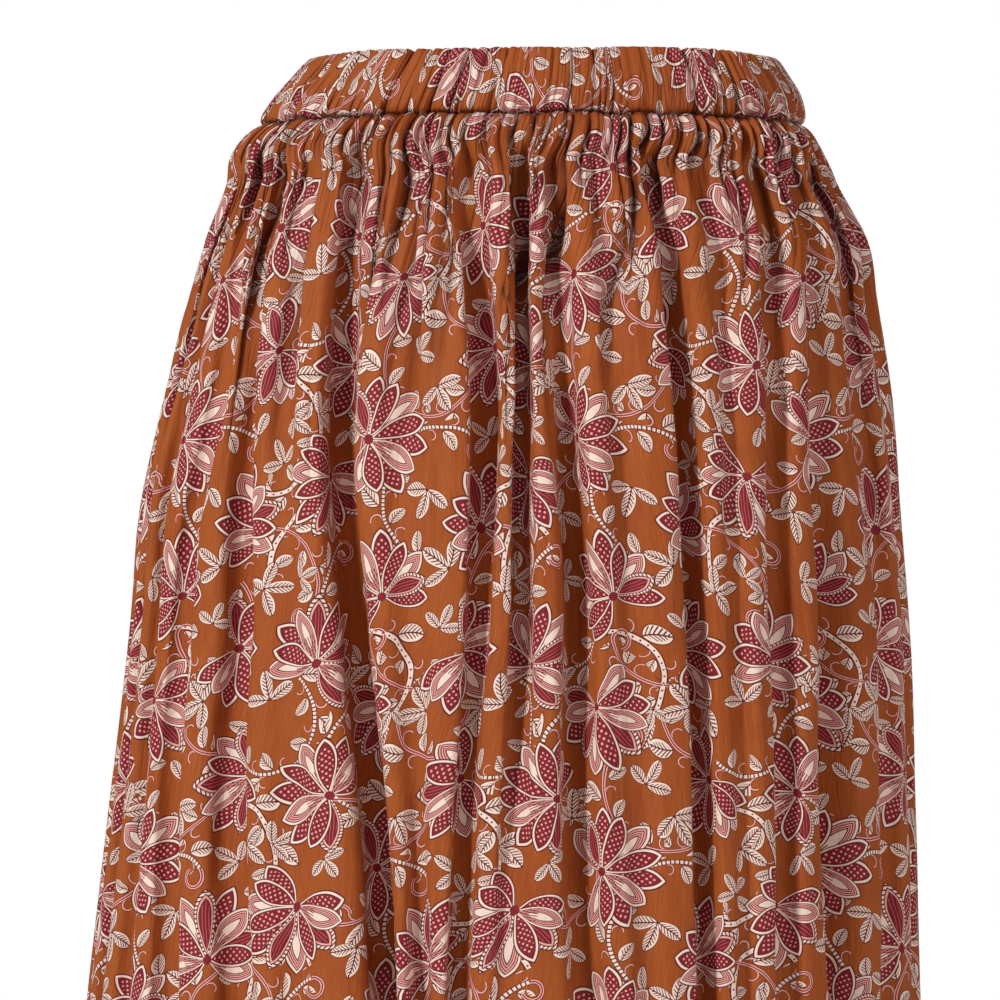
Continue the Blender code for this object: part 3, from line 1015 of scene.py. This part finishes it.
@dataclass(frozen=True)
class BlockPrint:
    """The print's repeat: fan flowers over arcs of leafy vine, with small sprigs between, on a plain ground.

    Sizes are in millimetres. Each reach says how far a motif is drawn from its
    centre, or from its line.
    """

    inks: Inks = Inks()
    width: float = 212.0
    height: float = 236.0
    wobble: float = 5.0
    smallest_arc: float = 15.0
    flower_reach: float = 40.0
    flower_foot: float = 10.0
    flower_heart: float = 2.2
    petal_spacing: float = 0.84
    sprig_reach: float = 18.0
    sprig_foot: float = 6.0
    leaflet_spacing: float = 1.25
    leaf_reach: float = 14.0
    leaf_pitch: float = 13.0
    leaf_stand: float = 7.6
    leaf_turn: float = 48.0
    leaf_size: tuple[float, float] = (7.3, 4.5)
    curl_reach: float = 2.2
    flowers: tuple[Motif, ...] = (
        # x, y, turn, kind, size
        Motif(34, 30, 20, 0.0, 1.18),
        Motif(30, 112, 200, 1.0, 1.12),
        Motif(40, 188, -65, 2.0, 1.15),
        Motif(104, 66, -30, 1.3, 1.12),
        Motif(108, 146, 75, 0.4, 1.17),
        Motif(100, 222, 160, 2.4, 1.12),
        Motif(178, 22, 110, 2.0, 1.14),
        Motif(174, 104, -10, 0.7, 1.17),
        Motif(180, 186, 235, 1.6, 1.12),
    )
    vines: tuple[Vine, ...] = (
        # x, y, radius, turn of the gap, width of the gap, kind
        Vine(64, 52, 36, 40, 150, 1.0),
        Vine(60, 148, 34, 200, 140, 0.0),
        Vine(22, 74, 30, 300, 190, 2.0),
        Vine(140, 40, 33, 120, 150, 0.0),
        Vine(142, 112, 37, 330, 160, 1.0),
        Vine(134, 190, 35, 60, 130, 0.0),
        Vine(200, 146, 32, 180, 170, 2.0),
        Vine(204, 60, 34, 250, 150, 0.0),
        Vine(72, 206, 30, 20, 180, 1.0),
        Vine(6, 222, 28, 140, 160, 1.0),
        Vine(110, 10, 27, 200, 170, 2.0),
        Vine(160, 230, 26, 90, 180, 0.0),
    )
    curled: tuple[int, ...] = (0, 1, 3, 4, 5, 7)
    sprigs: tuple[Motif, ...] = (
        # x, y, turn, and the size where it is less than 1
        Motif(68, 10, 45),
        Motif(72, 96, 190),
        Motif(4, 152, 120),
        Motif(142, 76, -60),
        Motif(74, 176, 10),
        Motif(144, 230, 250),
        Motif(210, 60, 80),
        Motif(144, 168, 150),
        Motif(2, 4, -20),
        Motif(128, 194, 30, size=0.9),
        Motif(131, 110, 200),
        Motif(72, 64, 100, size=0.85),
        Motif(182, 146, 300, size=0.9),
        Motif(22, 160, 60, size=0.85),
        Motif(150, 44, 20, size=0.8),
        Motif(128, 226, 200, size=0.8),
        Motif(52, 146, 140, size=0.8),
        Motif(202, 134, 330, size=0.8),
        Motif(18, 68, 60, size=0.75),
        Motif(188, 232, 280, size=0.75),
    )

    def group(self) -> bpy.types.NodeTree:
        """The print as a node group, from a place on the flat cloth in millimetres to its colour."""
        tree, graph, cloth = node_group("block_print", Colour="NodeSocketColor", Reverse="NodeSocketColor")
        middle = graph.vector("ADD", cloth, (-self.wobble / 2, -self.wobble / 2, 0.0))
        swerve = graph.noise(cloth, 0.045, output="Color")
        place = graph.vector("MULTIPLY_ADD", swerve, (self.wobble, self.wobble, 0.0), middle)
        tile = graph.vector("WRAP", place, (self.width, self.height, 1.0), (0.0, 0.0, 1.0))
        ground = self.ground_colour(graph, cloth)
        layers = ground
        for layer, mask in (self.vine_layer(graph, tile), self.sprig_layer(graph, tile),
                            self.flower_layer(graph, tile)):
            layers = graph.pick_colour(mask, layers, layer)
        graph.give(Colour=layers, Reverse=graph.pick_colour(0.55, layers, ground))
        return tree

    def ground_colour(self, graph: Graph, cloth: Signal) -> Signal:
        """The ground's dye, a little uneven and streaked along the threads."""
        clouds = graph.noise(cloth, 0.02, 2.0)
        streaks = graph.noise(graph.vector("MULTIPLY", cloth, (1.1, 0.07, 1.0)), 1.0)
        return graph.pick_colour(clouds * 0.8 + streaks * 0.9 - 0.45, self.inks.ground, self.inks.ground_deep)

    def around(self, graph: Graph, tile: Signal, motif: Motif | Vine, reach: float) -> Signal:
        """Moves a place by whole repeats to lie around a motif, if that crosses the repeat's edge.

        Args:
            graph: the tree's builder.
            tile: the place in the repeat, with 1 as its third number.
            motif: the motif.
            reach: how far from its centre it is drawn.

        Returns:
            The place, with 1 as its third number.
        """
        if reach <= motif.x <= self.width - reach and reach <= motif.y <= self.height - reach:
            return tile
        wide, high = self.width / 2, self.height / 2
        return graph.vector("WRAP", tile, (motif.x + wide, motif.y + high, 1.0), (motif.x - wide, motif.y - high, 1.0))

    def closest(self, graph: Graph, tile: Signal, motifs: tuple, away: list[Signal],
                facts: list[tuple]) -> tuple[Signal, Signal, Signal]:
        """Finds the motif that a place belongs to.

        Args:
            graph: the tree's builder.
            tile: the place in the repeat.
            motifs: the motifs.
            away: how far away each motif is.
            facts: three numbers for each motif, within FACTS_REACH.

        Returns:
            How far away the motif is, the way from its centre, and its facts.
        """
        spots = [(motif.x, motif.y, (number + 0.5) / len(motifs)) for number, motif in enumerate(motifs)]
        best, spot = away[0], spots[0]
        for other, own in zip(away[1:], spots[1:]):
            spot = graph.pick_vector(other < best, spot, own)
            best = graph.math("MINIMUM", best, other)
        wide, high = self.width / 2, self.height / 2
        way = graph.vector("WRAP", graph.vector("SUBTRACT", tile, spot), (wide, high, 0.0), (-wide, -high, 0.0))
        table = [(number / len(motifs), np.divide(own, FACTS_REACH)) for number, own in enumerate(facts)]
        return best, way, graph.vector("MULTIPLY", graph.steps(graph.split(spot)[2], table), FACTS_REACH)

    def nearest(self, graph: Graph, tile: Signal, motifs: tuple[Motif, ...], reach: float) -> tuple[Signal, Signal]:
        """Finds the flower or sprig that a place belongs to.

        Args:
            graph: the tree's builder.
            tile: the place in the repeat.
            motifs: the motifs of the repeat.
            reach: how far from its centre each is drawn.

        Returns:
            The way from the nearest motif, turned and sized to it, and its kind.
        """
        away = [graph.measure("DISTANCE", self.around(graph, tile, motif, reach), (motif.x, motif.y, 1.0))
                for motif in motifs]
        facts = [(math.radians(motif.turn % 360), motif.kind, 1 / motif.size) for motif in motifs]
        _, way, own = self.closest(graph, tile, motifs, away, facts)
        turn, kind, size = graph.split(own)
        turned = graph.out("ShaderNodeVectorRotate", {"Vector": way, "Angle": turn}, rotation_type="Z_AXIS")
        sized = graph.out("ShaderNodeVectorMath", {0: turned, "Scale": size}, "Vector", operation="SCALE")
        return sized, kind

    def lens(self, graph: Graph, along: Signal, across: Signal, length: float, width: float) -> Signal:
        """How far inside a pointed leaf shape a place lies.

        Args:
            graph: the tree's builder.
            along: the way along the shape from its middle.
            across: the way across it, without its sign.
            length: half the shape's length.
            width: half its width.

        Returns:
            The distance in from the edge, less than 0 outside.
        """
        radius = (length**2 + width**2) / (2 * width)
        return radius - graph.measure("LENGTH", graph.join(along, across + (radius - width)))

    def petals(self, graph: Graph, polar: tuple[Signal, Signal], spacing: float, offset: float,
               last: tuple[float, float], size: tuple[float, float]) -> tuple[Signal, Signal, Signal, Signal]:
        """A fan of petals that spread from one point.

        Args:
            graph: the tree's builder.
            polar: the distance from that point and the angle about it.
            spacing: the angle from one petal to the next.
            offset: how far the middle petal is turned, in spacings.
            last: the numbers of the first and last petals.
            size: half a petal's length, and half its width.

        Returns:
            The distance in from the petal's edge, the way along and across it, and its number.
        """
        radius, angle = polar
        number = graph.math("ROUND", angle * (1 / spacing) - offset)
        number = graph.math("MINIMUM", graph.math("MAXIMUM", number, last[0]), last[1]) + offset
        turned = angle - number * spacing
        outer = abs(number) * 0.13 + 0.92
        along = radius * graph.math("COSINE", turned) * outer
        across = radius * graph.math("SINE", turned)
        narrow = abs(across) * (1.75 - along * 0.034)
        return self.lens(graph, along - size[0], narrow, *size), along, across, number

    def flower_layer(self, graph: Graph, tile: Signal) -> tuple[Signal, Signal]:
        """The fan flowers: their colour, and where they lie."""
        inks = self.inks
        way, kind = self.nearest(graph, tile, self.flowers, self.flower_reach)
        x, y, _ = graph.split(graph.vector("ADD", way, (0.0, self.flower_foot, 0.0)))
        radius = graph.measure("LENGTH", graph.join(x, y))
        polar = (radius, graph.math("ARCTAN2", x, y))
        front = self.petals(graph, polar, self.petal_spacing, 0.0, (-2, 2), (15.2, 6.5))
        back = self.petals(graph, polar, self.petal_spacing, 0.5, (-3, 2), (16.6, 6.6))
        is_front = front[0] > 0.0
        inside, along, across, number = (graph.pick(is_front, b, f) for f, b in zip(front, back))
        code = graph.math("FRACT", kind * 0.41 + number * 0.37 + is_front * 0.5 + 0.07)
        dotted = graph.bands(inside, 8, (0, inks.outline), (0.55, inks.cream), (1.5, inks.outline), (2.0, inks.maroon))
        grid = graph.out("ShaderNodeMapping", {"Vector": graph.join(along, across), "Rotation": (0, 0, 0.785),
                                               "Scale": (0.44, 0.44, 1.0)})
        cell = graph.vector("SUBTRACT", graph.vector("FRACTION", grid), (0.5, 0.5, 0.0))
        dots = (graph.measure("LENGTH", cell) < 0.25) * (inside > 2.5)
        dotted = graph.pick_colour(dots, dotted, inks.pink)
        ringed = graph.bands(inside, 8, (0, inks.outline), (0.45, inks.cream), (1.3, inks.outline), (1.7, inks.pink),
                             (2.2, inks.maroon), (2.6, inks.pink), (3.1, inks.maroon), (3.5, inks.pink),
                             (3.9, inks.outline), (4.4, inks.cream))
        lines = (across.part(1.3) < 0.36) * (along < 14.0) * (inside > 1.3)
        ringed = graph.pick_colour(lines, ringed, inks.maroon)
        beaded = graph.bands(inside, 8, (0, inks.outline), (0.45, inks.cream), (1.55, inks.outline), (2.0, inks.pink),
                             (2.8, inks.outline), (3.2, inks.brick))
        beads = (along.part(1.9) < 0.36) * (inside < 1.6)
        beaded = graph.pick_colour(beads, beaded, inks.outline)
        veins = (across.part(1.5) < 0.3) * (inside > 3.4)
        beaded = graph.pick_colour(veins, beaded, inks.vein)
        petal = graph.pick_colour(code > 0.32, ringed, dotted)
        petal = graph.pick_colour(code > 0.84, petal, beaded)
        heart = radius < self.flower_heart
        petal = graph.pick_colour(heart, petal, inks.maroon)
        mask = graph.math("MAXIMUM", inside > 0.0, heart)
        return petal, mask

    def vine_layer(self, graph: Graph, tile: Signal) -> tuple[Signal, Signal]:
        """The arcs of vine with their leaves: their colour, and where they lie."""
        inks = self.inks
        vines = self.vines + tuple(self.vines[number].curl() for number in self.curled)
        away = [self.off_vine(graph, tile, vine) for vine in vines]
        best, way, own = self.closest(graph, tile, vines, away, [(vine.radius, vine.kind, 0.0) for vine in vines])
        radius, kind, _ = graph.split(own)
        x, y, _ = graph.split(way)
        off = graph.measure("LENGTH", way) - radius
        run = graph.math("ARCTAN2", x, y) * radius
        stem = abs(off)
        twin = graph.bands(stem, 4, (0, inks.maroon), (0.32, inks.pink), (1.0, inks.outline))
        beaded = graph.bands(stem, 4, (0, inks.cream), (0.95, inks.outline))
        beaded = graph.pick_colour((run.part(2.3) < 0.32) * (stem < 1.0), beaded, inks.outline)
        thick = graph.bands(stem, 4, (0, inks.cream), (1.25, inks.outline))
        spot = graph.measure("LENGTH", graph.join((run.part(4.2) - 0.5) * 4.2, off))
        thick = graph.pick_colour(spot < 0.55, thick, inks.outline)
        vine_ink = graph.pick_colour(kind > 0.5, twin, beaded)
        vine_ink = graph.pick_colour(kind > 1.5, vine_ink, thick)
        on_vine = stem < graph.pick(kind > 1.5, 1.4, 1.95)
        leaf_ink, on_leaf = self.leaves(graph, run, off)
        mask = graph.math("MAXIMUM", on_vine, on_leaf * (radius > self.smallest_arc)) * (best < FAR_AWAY / 2)
        return graph.pick_colour(on_vine, leaf_ink, vine_ink), mask

    def off_vine(self, graph: Graph, tile: Signal, vine: Vine) -> Signal:
        """How far off a vine's line a place lies, or far away where the vine has its gap.

        Args:
            graph: the tree's builder.
            tile: the place in the repeat.
            vine: the vine, or a curl.

        Returns:
            The distance, in millimetres.
        """
        is_curl = vine.radius < self.smallest_arc
        here = self.around(graph, tile, vine, vine.radius + (self.curl_reach if is_curl else self.leaf_reach))
        away = abs(graph.measure("DISTANCE", here, (vine.x, vine.y, 1.0)) - vine.radius)
        if is_curl:
            away = graph.math("MULTIPLY_ADD", away > self.curl_reach, FAR_AWAY, away)
        turn = math.radians(vine.gap_turn)
        facing = np.array([math.cos(turn), math.sin(turn), 0.0])
        facing[2] = -facing @ (vine.x, vine.y, 0.0) - vine.radius * math.cos(math.radians(vine.gap / 2))
        return graph.math("MAXIMUM", away, graph.measure("DOT_PRODUCT", here, tuple(GAP_EDGE * facing)))

    def leaves(self, graph: Graph, run: Signal, off: Signal) -> tuple[Signal, Signal]:
        """Leaves on both sides of a vine.

        Args:
            graph: the tree's builder.
            run: the way along the vine.
            off: the way out from it.

        Returns:
            Their colour, and where they lie.
        """
        pitch, stand, turn = self.leaf_pitch, self.leaf_stand, math.radians(self.leaf_turn)
        side = graph.math("SIGN", run.part(2 * pitch) - 0.5)
        s = (run.part(pitch) - 0.5) * pitch
        n = off * side - stand
        along = s * math.cos(turn) + n * math.sin(turn)
        across = n * math.cos(turn) - s * math.sin(turn)
        inside = self.lens(graph, along, abs(across), *self.leaf_size)
        hook = abs(graph.measure("LENGTH", graph.join(s - 0.6, off * side + 4.4)) - 3.0)
        on_hook = (hook < 0.75) * (s > 0.2)
        ink = graph.bands(hook, 4, (0, self.inks.pink), (0.4, self.inks.outline))
        ink = graph.pick_colour(inside > 0.0, ink, self.leaf_ink(graph, inside, along, across))
        return ink, graph.math("MAXIMUM", inside > 0.0, on_hook)

    def leaf_ink(self, graph: Graph, inside: Signal, along: Signal, across: Signal) -> Signal:
        """A leaf's colour: cream, with a dark edge, a rib and slanted veins, dashed on one side.

        Args:
            graph: the tree's builder.
            inside: how far inside the leaf's edge a place lies.
            along: the way along the leaf.
            across: the way across it.

        Returns:
            The colour.
        """
        inks = self.inks
        ink = graph.bands(inside, 4, (0, inks.outline), (0.5, inks.cream))
        slanted = (along - abs(across) * 1.1).part(2.0) < 0.38
        reach = graph.pick(across > 0.0, 1.7, 0.8)
        veins = graph.math("MAXIMUM", abs(across) < 0.32, slanted * (inside > reach))
        return graph.pick_colour(veins, ink, inks.outline)

    def sprig_layer(self, graph: Graph, tile: Signal) -> tuple[Signal, Signal]:
        """The small three-petalled sprigs: their colour, and where they lie."""
        way, _ = self.nearest(graph, tile, self.sprigs, self.sprig_reach)
        x, y, _ = graph.split(graph.vector("ADD", way, (0.0, self.sprig_foot, 0.0)))
        polar = (graph.measure("LENGTH", graph.join(x, y)), graph.math("ARCTAN2", x, y))
        inside, along, across, _ = self.petals(graph, polar, self.leaflet_spacing, 0.0, (-1, 1), (8.2, 5.4))
        return self.leaf_ink(graph, inside, along, across), inside > 0.0


def new_material(name: str) -> tuple[bpy.types.Material, Graph, bpy.types.Node]:
    """Starts a material, and gives it with its builder and its shader."""
    material = bpy.data.materials.new(name)
    material.use_nodes = True
    return material, Graph(material.node_tree), material.node_tree.nodes["Principled BSDF"]


@dataclass(frozen=True)
class PrintedCotton:
    """A light plain-woven cotton with the print on its face and a paler reverse."""

    name: str
    cut_width: float
    cut_length: float
    shift: tuple[float, float]
    crinkles_reach: float = 150.0
    least_crinkled: float = 0.12
    weave_share: float = 0.4
    # The colour that the print is multiplied by where the painted shade is full
    shade: tuple[float, float, float] = (0.28, 0.19, 0.2)
    finish: tuple[tuple[str, float | tuple], ...] = (
        ("Roughness", 0.64),
        ("Specular IOR Level", 0.26),
        ("Sheen Weight", 0.04),
        ("Sheen Roughness", 0.5),
        ("Sheen Tint", colour(255, 225, 200)),
    )

    def material(self, block_print: bpy.types.NodeTree, weave: bpy.types.NodeTree) -> bpy.types.Material:
        """Makes the material.

        Args:
            block_print: the print's node group.
            weave: the weave's node group.

        Returns:
            The material, which reads the cloth map in flat millimetres.
        """
        material, graph, shader = new_material(self.name)
        uv = graph.out("ShaderNodeUVMap", {}, uv_map=CLOTH_MAP)
        cloth = graph.vector("MULTIPLY_ADD", uv, (self.cut_width, self.cut_length, 0.0), (*self.shift, 0.0))
        printed = graph.add("ShaderNodeGroup", {}, node_tree=block_print)
        threads = graph.add("ShaderNodeGroup", {}, node_tree=weave)
        graph.feed(printed.inputs["Cloth"], cloth)
        graph.feed(threads.inputs["Cloth"], cloth)
        inside = graph.out("ShaderNodeNewGeometry", {}, "Backfacing")
        face, reverse = (Signal(graph, printed.outputs[side]) for side in ("Colour", "Reverse"))
        shown = graph.pick_colour(inside, face, reverse)
        # Painted shade: where the mesh's painted shade is full, the print's colour is multiplied down to the shade
        # colour
        painted_shade = graph.out("ShaderNodeAttribute", {}, "Fac", attribute_name=PAINTED_SHADE)
        shaded = graph.vector("MULTIPLY", shown, self.shade)
        graph.feed(shader.inputs["Base Color"], graph.pick_colour(painted_shade, shown, shaded))
        from_top = (1.0 - graph.split(uv)[1]) * (self.cut_length / self.crinkles_reach)
        drawn_up = graph.math("MAXIMUM", 1.0 - from_top, self.least_crinkled)
        crinkles, height = (Signal(graph, threads.outputs[name]) for name in ("Crinkles", "Height"))
        bump = {"Strength": 0.9, "Distance": 0.0004, "Height": crinkles * drawn_up + height * self.weave_share}
        graph.feed(shader.inputs["Normal"], graph.out("ShaderNodeBump", bump))
        for socket, value in self.finish:
            graph.feed(shader.inputs[socket], value)
        return material


@dataclass(frozen=True)
class SewingThread:
    """A thin twisted thread, a little paler than the ground."""

    name: str = "sewing_thread"
    pale: tuple = colour(206, 122, 66)
    deep: tuple = colour(150, 74, 34)
    turns_a_metre: float = 1800.0

    def material(self) -> bpy.types.Material:
        """Makes the material, with the twist's fine light and dark turns."""
        material, graph, shader = new_material(self.name)
        twist = graph.noise(graph.out("ShaderNodeTexCoord", {}, "Object"), self.turns_a_metre)
        graph.feed(shader.inputs["Base Color"], graph.pick_colour(twist, self.deep, self.pale))
        bump = {"Strength": 0.3, "Distance": 0.0001, "Height": twist}
        graph.feed(shader.inputs["Normal"], graph.out("ShaderNodeBump", bump))
        graph.feed(shader.inputs["Roughness"], 0.6)
        return material


def weave_group(thread: float) -> bpy.types.NodeTree:
    """The plain weave, and the fine crinkles that the gathering draws down it, as a node group.

    Args:
        thread: the distance between threads, in millimetres.

    Returns:
        The group, from a place on the flat cloth to the threads' height and the crinkles' height.
    """
    tree, graph, cloth = node_group("plain_weave", Height="NodeSocketFloat", Crinkles="NodeSocketFloat")
    x, y, _ = graph.split(cloth)
    turn = math.pi / thread
    over = graph.math("SINE", x * turn) * graph.math("SINE", y * turn)
    slub = graph.noise(graph.vector("MULTIPLY", cloth, (1.6, 0.12, 1.0)), 1.0)
    crepe = graph.noise(cloth, 0.35)
    drawn = graph.noise(graph.vector("MULTIPLY", cloth, (0.15, 0.012, 1.0)), 1.0, 1.0)
    crinkles = graph.math("MINIMUM", abs(drawn - 0.5) * 14.0, 1.0)
    graph.give(Height=over * 0.35 + slub * 1.2 + crepe * 0.8, Crinkles=crinkles * 3.0)
    return tree


@dataclass(frozen=True)
class Studio:
    """The plain pale floor, the soft light and the camera."""

    floor_down: float = 1.08
    camera_place: tuple = (-0.0247, -3.0, -0.2335)
    lens: float = 187.8
    aim: tuple = (0.0, 0.0, -0.35)
    surroundings: tuple = (0.19, 0.155, 0.14, 1.0)
    backdrop: tuple = (1.0, 1.0, 1.0, 1.0)
    floor_colour: tuple = (0.86, 0.86, 0.86, 1.0)
    floor_half: float = 5.4
    lights: tuple[tuple, ...] = (
        # name, place, size, power, tint
        ("key", (-2.2, -2.1, 1.75), 0.45, 94.0, (1.0, 0.98, 0.93)),
        ("fill", (2.1, -2.0, 0.6), 1.2, 22.0, (1.0, 0.88, 0.81)),
        ("back", (0.2, 2.6, 0.9), 1.6, 60.0, (1.0, 1.0, 1.0)),
    )

    def build(self) -> None:
        """Sets up the floor, the lights, the surroundings and the camera."""
        mesh = bmesh.new()
        bmesh.ops.create_grid(mesh, x_segments=1, y_segments=1, size=self.floor_half)
        bmesh.ops.translate(mesh, verts=mesh.verts, vec=(0, 0, -self.floor_down))
        data = bpy.data.meshes.new("floor")
        mesh.to_mesh(data)
        mesh.free()
        floor = bpy.data.objects.new("floor", data)
        bpy.context.scene.collection.objects.link(floor)
        paint, graph, shader = new_material("pale_floor")
        graph.feed(shader.inputs["Base Color"], self.floor_colour)
        graph.feed(shader.inputs["Roughness"], 0.9)
        data.materials.append(paint)
        for light in self.lights:
            self.light(*light)
        bpy.context.scene.view_settings.view_transform = "Standard"
        world = bpy.data.worlds.new("studio")
        bpy.context.scene.world = world
        world.use_nodes = True
        graph = Graph(world.node_tree)
        seen = graph.out("ShaderNodeLightPath", {}, "Is Camera Ray")
        colour_in = world.node_tree.nodes["Background"].inputs["Color"]
        graph.feed(colour_in, graph.pick_colour(seen, self.surroundings, self.backdrop))
        camera = bpy.data.objects.new("camera", bpy.data.cameras.new("camera"))
        camera.data.sensor_width = 36
        camera.data.lens = self.lens
        camera.location = self.camera_place
        camera.rotation_euler = (math.pi / 2, 0, 0)
        bpy.context.scene.collection.objects.link(camera)
        bpy.context.scene.camera = camera

    def light(self, name: str, place: tuple, size: float, power: float, tint: tuple) -> None:
        """Adds one soft square light that faces the skirt."""
        lamp = bpy.data.lights.new(name, "AREA")
        lamp.size = size
        lamp.energy = power
        lamp.color = tint
        item = bpy.data.objects.new(name, lamp)
        item.location = place
        item.rotation_euler = (Vector(self.aim) - Vector(place)).to_track_quat("-Z", "Y").to_euler()
        bpy.context.scene.collection.objects.link(item)


def main() -> None:
    """Builds the skirt's pieces in order."""
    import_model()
    front_gathers, back_gathers = Gathers(count=70, seed=11), Gathers(count=74, seed=23)
    front = SkirtPanel(Half.FRONT, FRONT_FOLDS, FRONT_CREASES, front_gathers, cut_width=880.0, seed=3)
    back = SkirtPanel(Half.BACK, BACK_FOLDS, BACK_CREASES, back_gathers, cut_width=920.0, seed=17)
    band = Waistband(front_gathers, back_gathers)
    block_print = BlockPrint().group()
    weave = weave_group(thread=0.55)
    thread = SewingThread().material()
    pieces = []
    for panel, shift in ((front, (0.0, 0.0)), (back, (37.0, 61.0))):
        stitches = HemStitches(panel).build()
        stitches.data.materials.append(thread)
        cloth = panel.build(stitches)
        cotton = PrintedCotton(f"{panel.name}_cotton", panel.cut_width, panel.cut_length, shift)
        cloth.data.materials.append(cotton.material(block_print, weave))
        pieces += [stitches, cloth]
    casing = band.build()
    cotton = PrintedCotton("waistband_cotton", band.cut_width, band.rows()[-1].cloth, (90.0, 20.0))
    casing.data.materials.append(cotton.material(block_print, weave))
    for piece in pieces + [casing]:
        log.info("%s: %d points", piece.name, len(piece.data.vertices))
    Studio().build()


if __name__ == "__main__":
    main()
